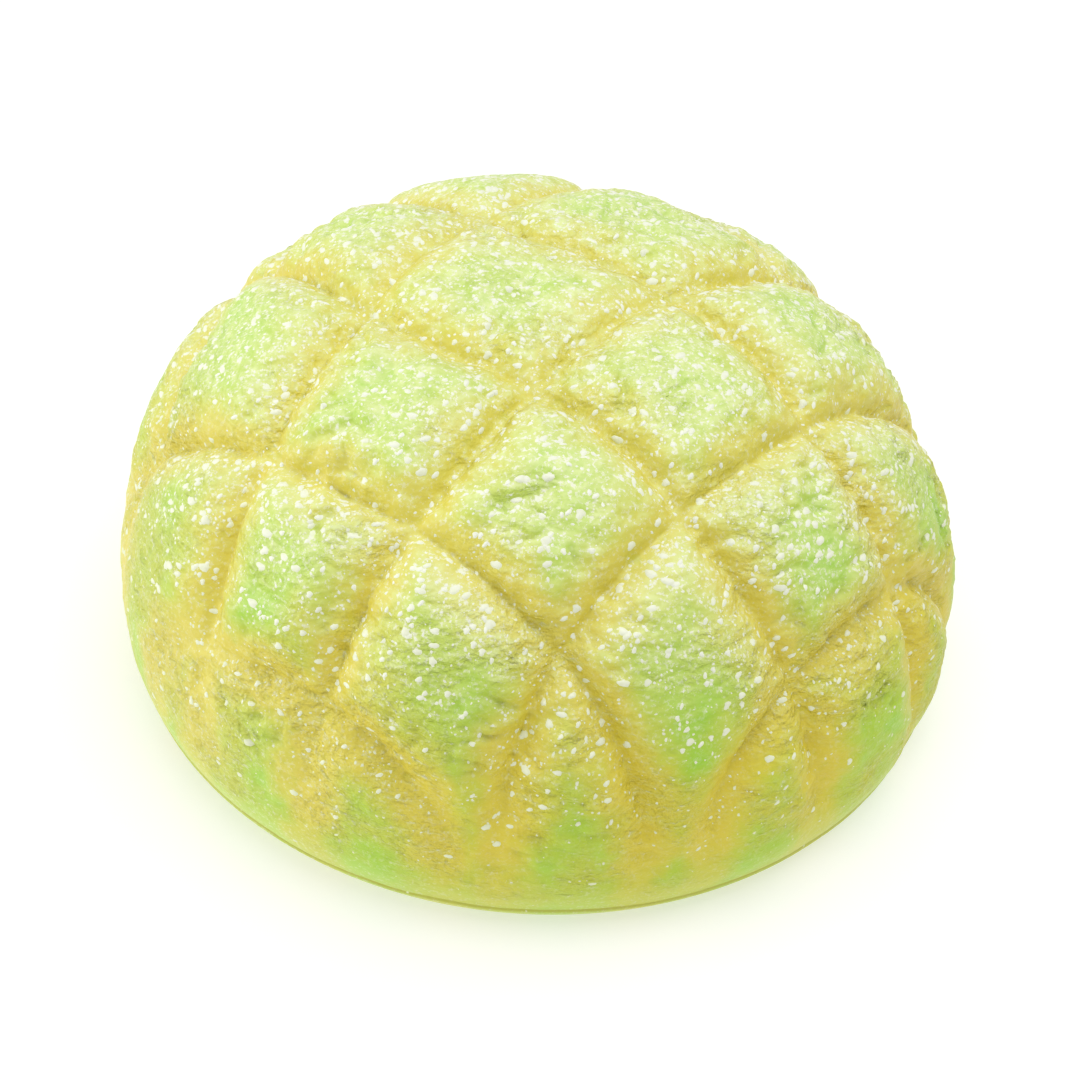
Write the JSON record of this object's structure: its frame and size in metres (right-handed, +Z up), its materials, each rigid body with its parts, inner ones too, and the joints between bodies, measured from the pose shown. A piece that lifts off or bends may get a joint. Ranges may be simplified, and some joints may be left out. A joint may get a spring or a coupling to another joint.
{
  "type": "squishy toy melon pan bun",
  "caption": "Domed melon bun of soft moulded foam, a squeeze toy, its crown scored with crossing grooves into puffed diamond tiles, flat underneath.",
  "frame": {"origin": "middle of the flat underside", "axes": "+Z up through the crown; -Y is the front, where the grooves cross low on the wall"},
  "size_m": [0.104, 0.1039, 0.052],
  "materials": {
    "foam_skin": "soft foam skin, pastel green sprayed yellow along the grooves",
    "white_spatter": "flicked white paint, satin droplets"
  },
  "bodies": {
    "root": {"bun": "foam_skin"}
  },
  "joints": []
}
